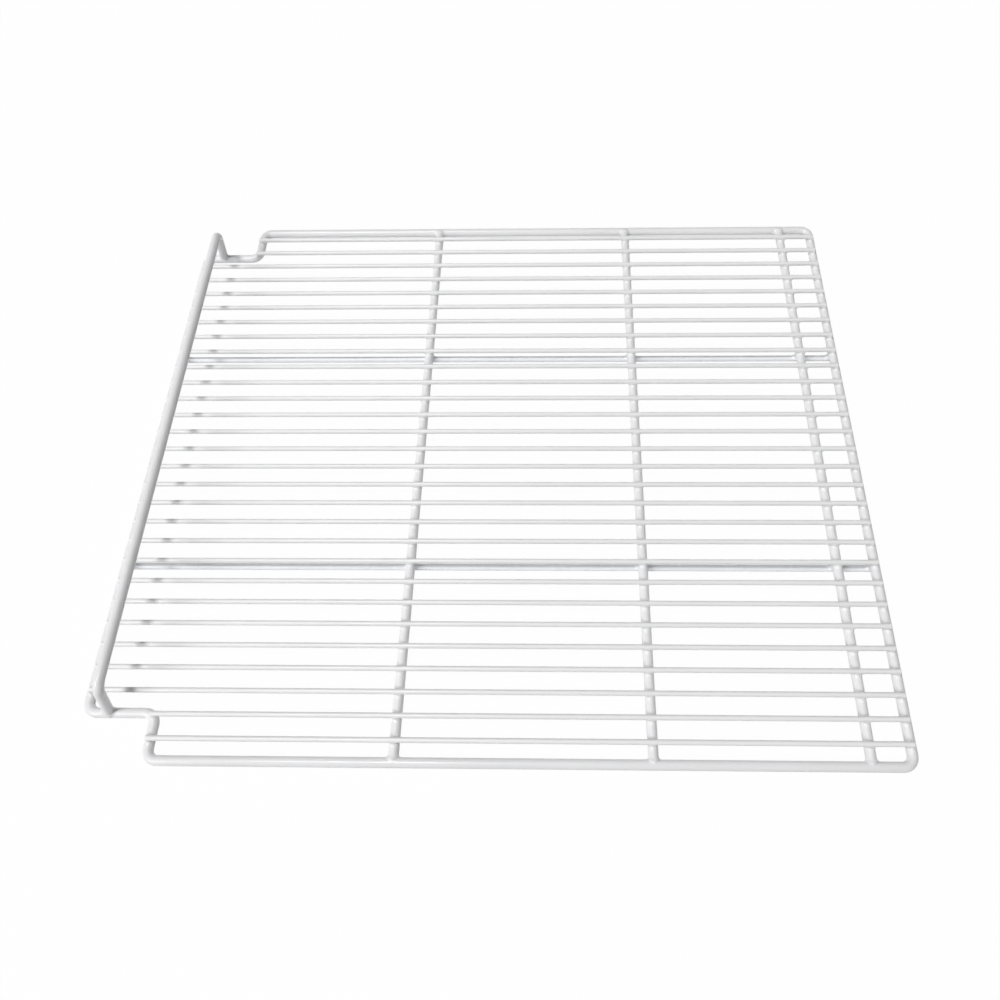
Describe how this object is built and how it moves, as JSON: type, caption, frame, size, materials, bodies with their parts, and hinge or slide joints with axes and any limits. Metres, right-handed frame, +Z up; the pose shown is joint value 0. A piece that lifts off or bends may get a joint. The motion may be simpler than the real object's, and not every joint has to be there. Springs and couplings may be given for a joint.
{
  "type": "wire refrigerator shelf",
  "caption": "White coated wire refrigerator shelf: a bent rim with notched rear corners carries cross rods, support rods, close deck wires and a raised rear rail.",
  "frame": {"origin": "under the middle of the shelf, on the plane that the support rods rest on", "axes": "+X towards the front of the shelf, along the deck wires; +Y to its right; +Z up"},
  "size_m": [0.557, 0.482, 0.0495],
  "materials": {
    "white_coating": "smooth satin white coating over steel wire"
  },
  "bodies": {
    "root": {"rim": "white_coating", "rear_rail": "white_coating", "cross_rod_front": "white_coating", "cross_rod_middle": "white_coating", "cross_rod_rear": "white_coating", "support_rod_left": "white_coating", "support_rod_right": "white_coating", "deck_wire_01": "white_coating", "deck_wire_02": "white_coating", "deck_wire_03": "white_coating", "deck_wire_04": "white_coating", "deck_wire_05": "white_coating", "deck_wire_06": "white_coating", "deck_wire_07": "white_coating", "deck_wire_08": "white_coating", "deck_wire_09": "white_coating", "deck_wire_10": "white_coating", "deck_wire_11": "white_coating", "deck_wire_12": "white_coating", "deck_wire_13": "white_coating", "deck_wire_14": "white_coating", "deck_wire_15": "white_coating", "deck_wire_16": "white_coating", "deck_wire_17": "white_coating", "deck_wire_18": "white_coating", "deck_wire_19": "white_coating", "deck_wire_20": "white_coating", "deck_wire_21": "white_coating", "deck_wire_22": "white_coating", "deck_wire_23": "white_coating", "deck_wire_24": "white_coating", "deck_wire_25": "white_coating", "deck_wire_26": "white_coating", "deck_wire_27": "white_coating", "deck_wire_28": "white_coating", "deck_wire_29": "white_coating"}
  },
  "joints": []
}
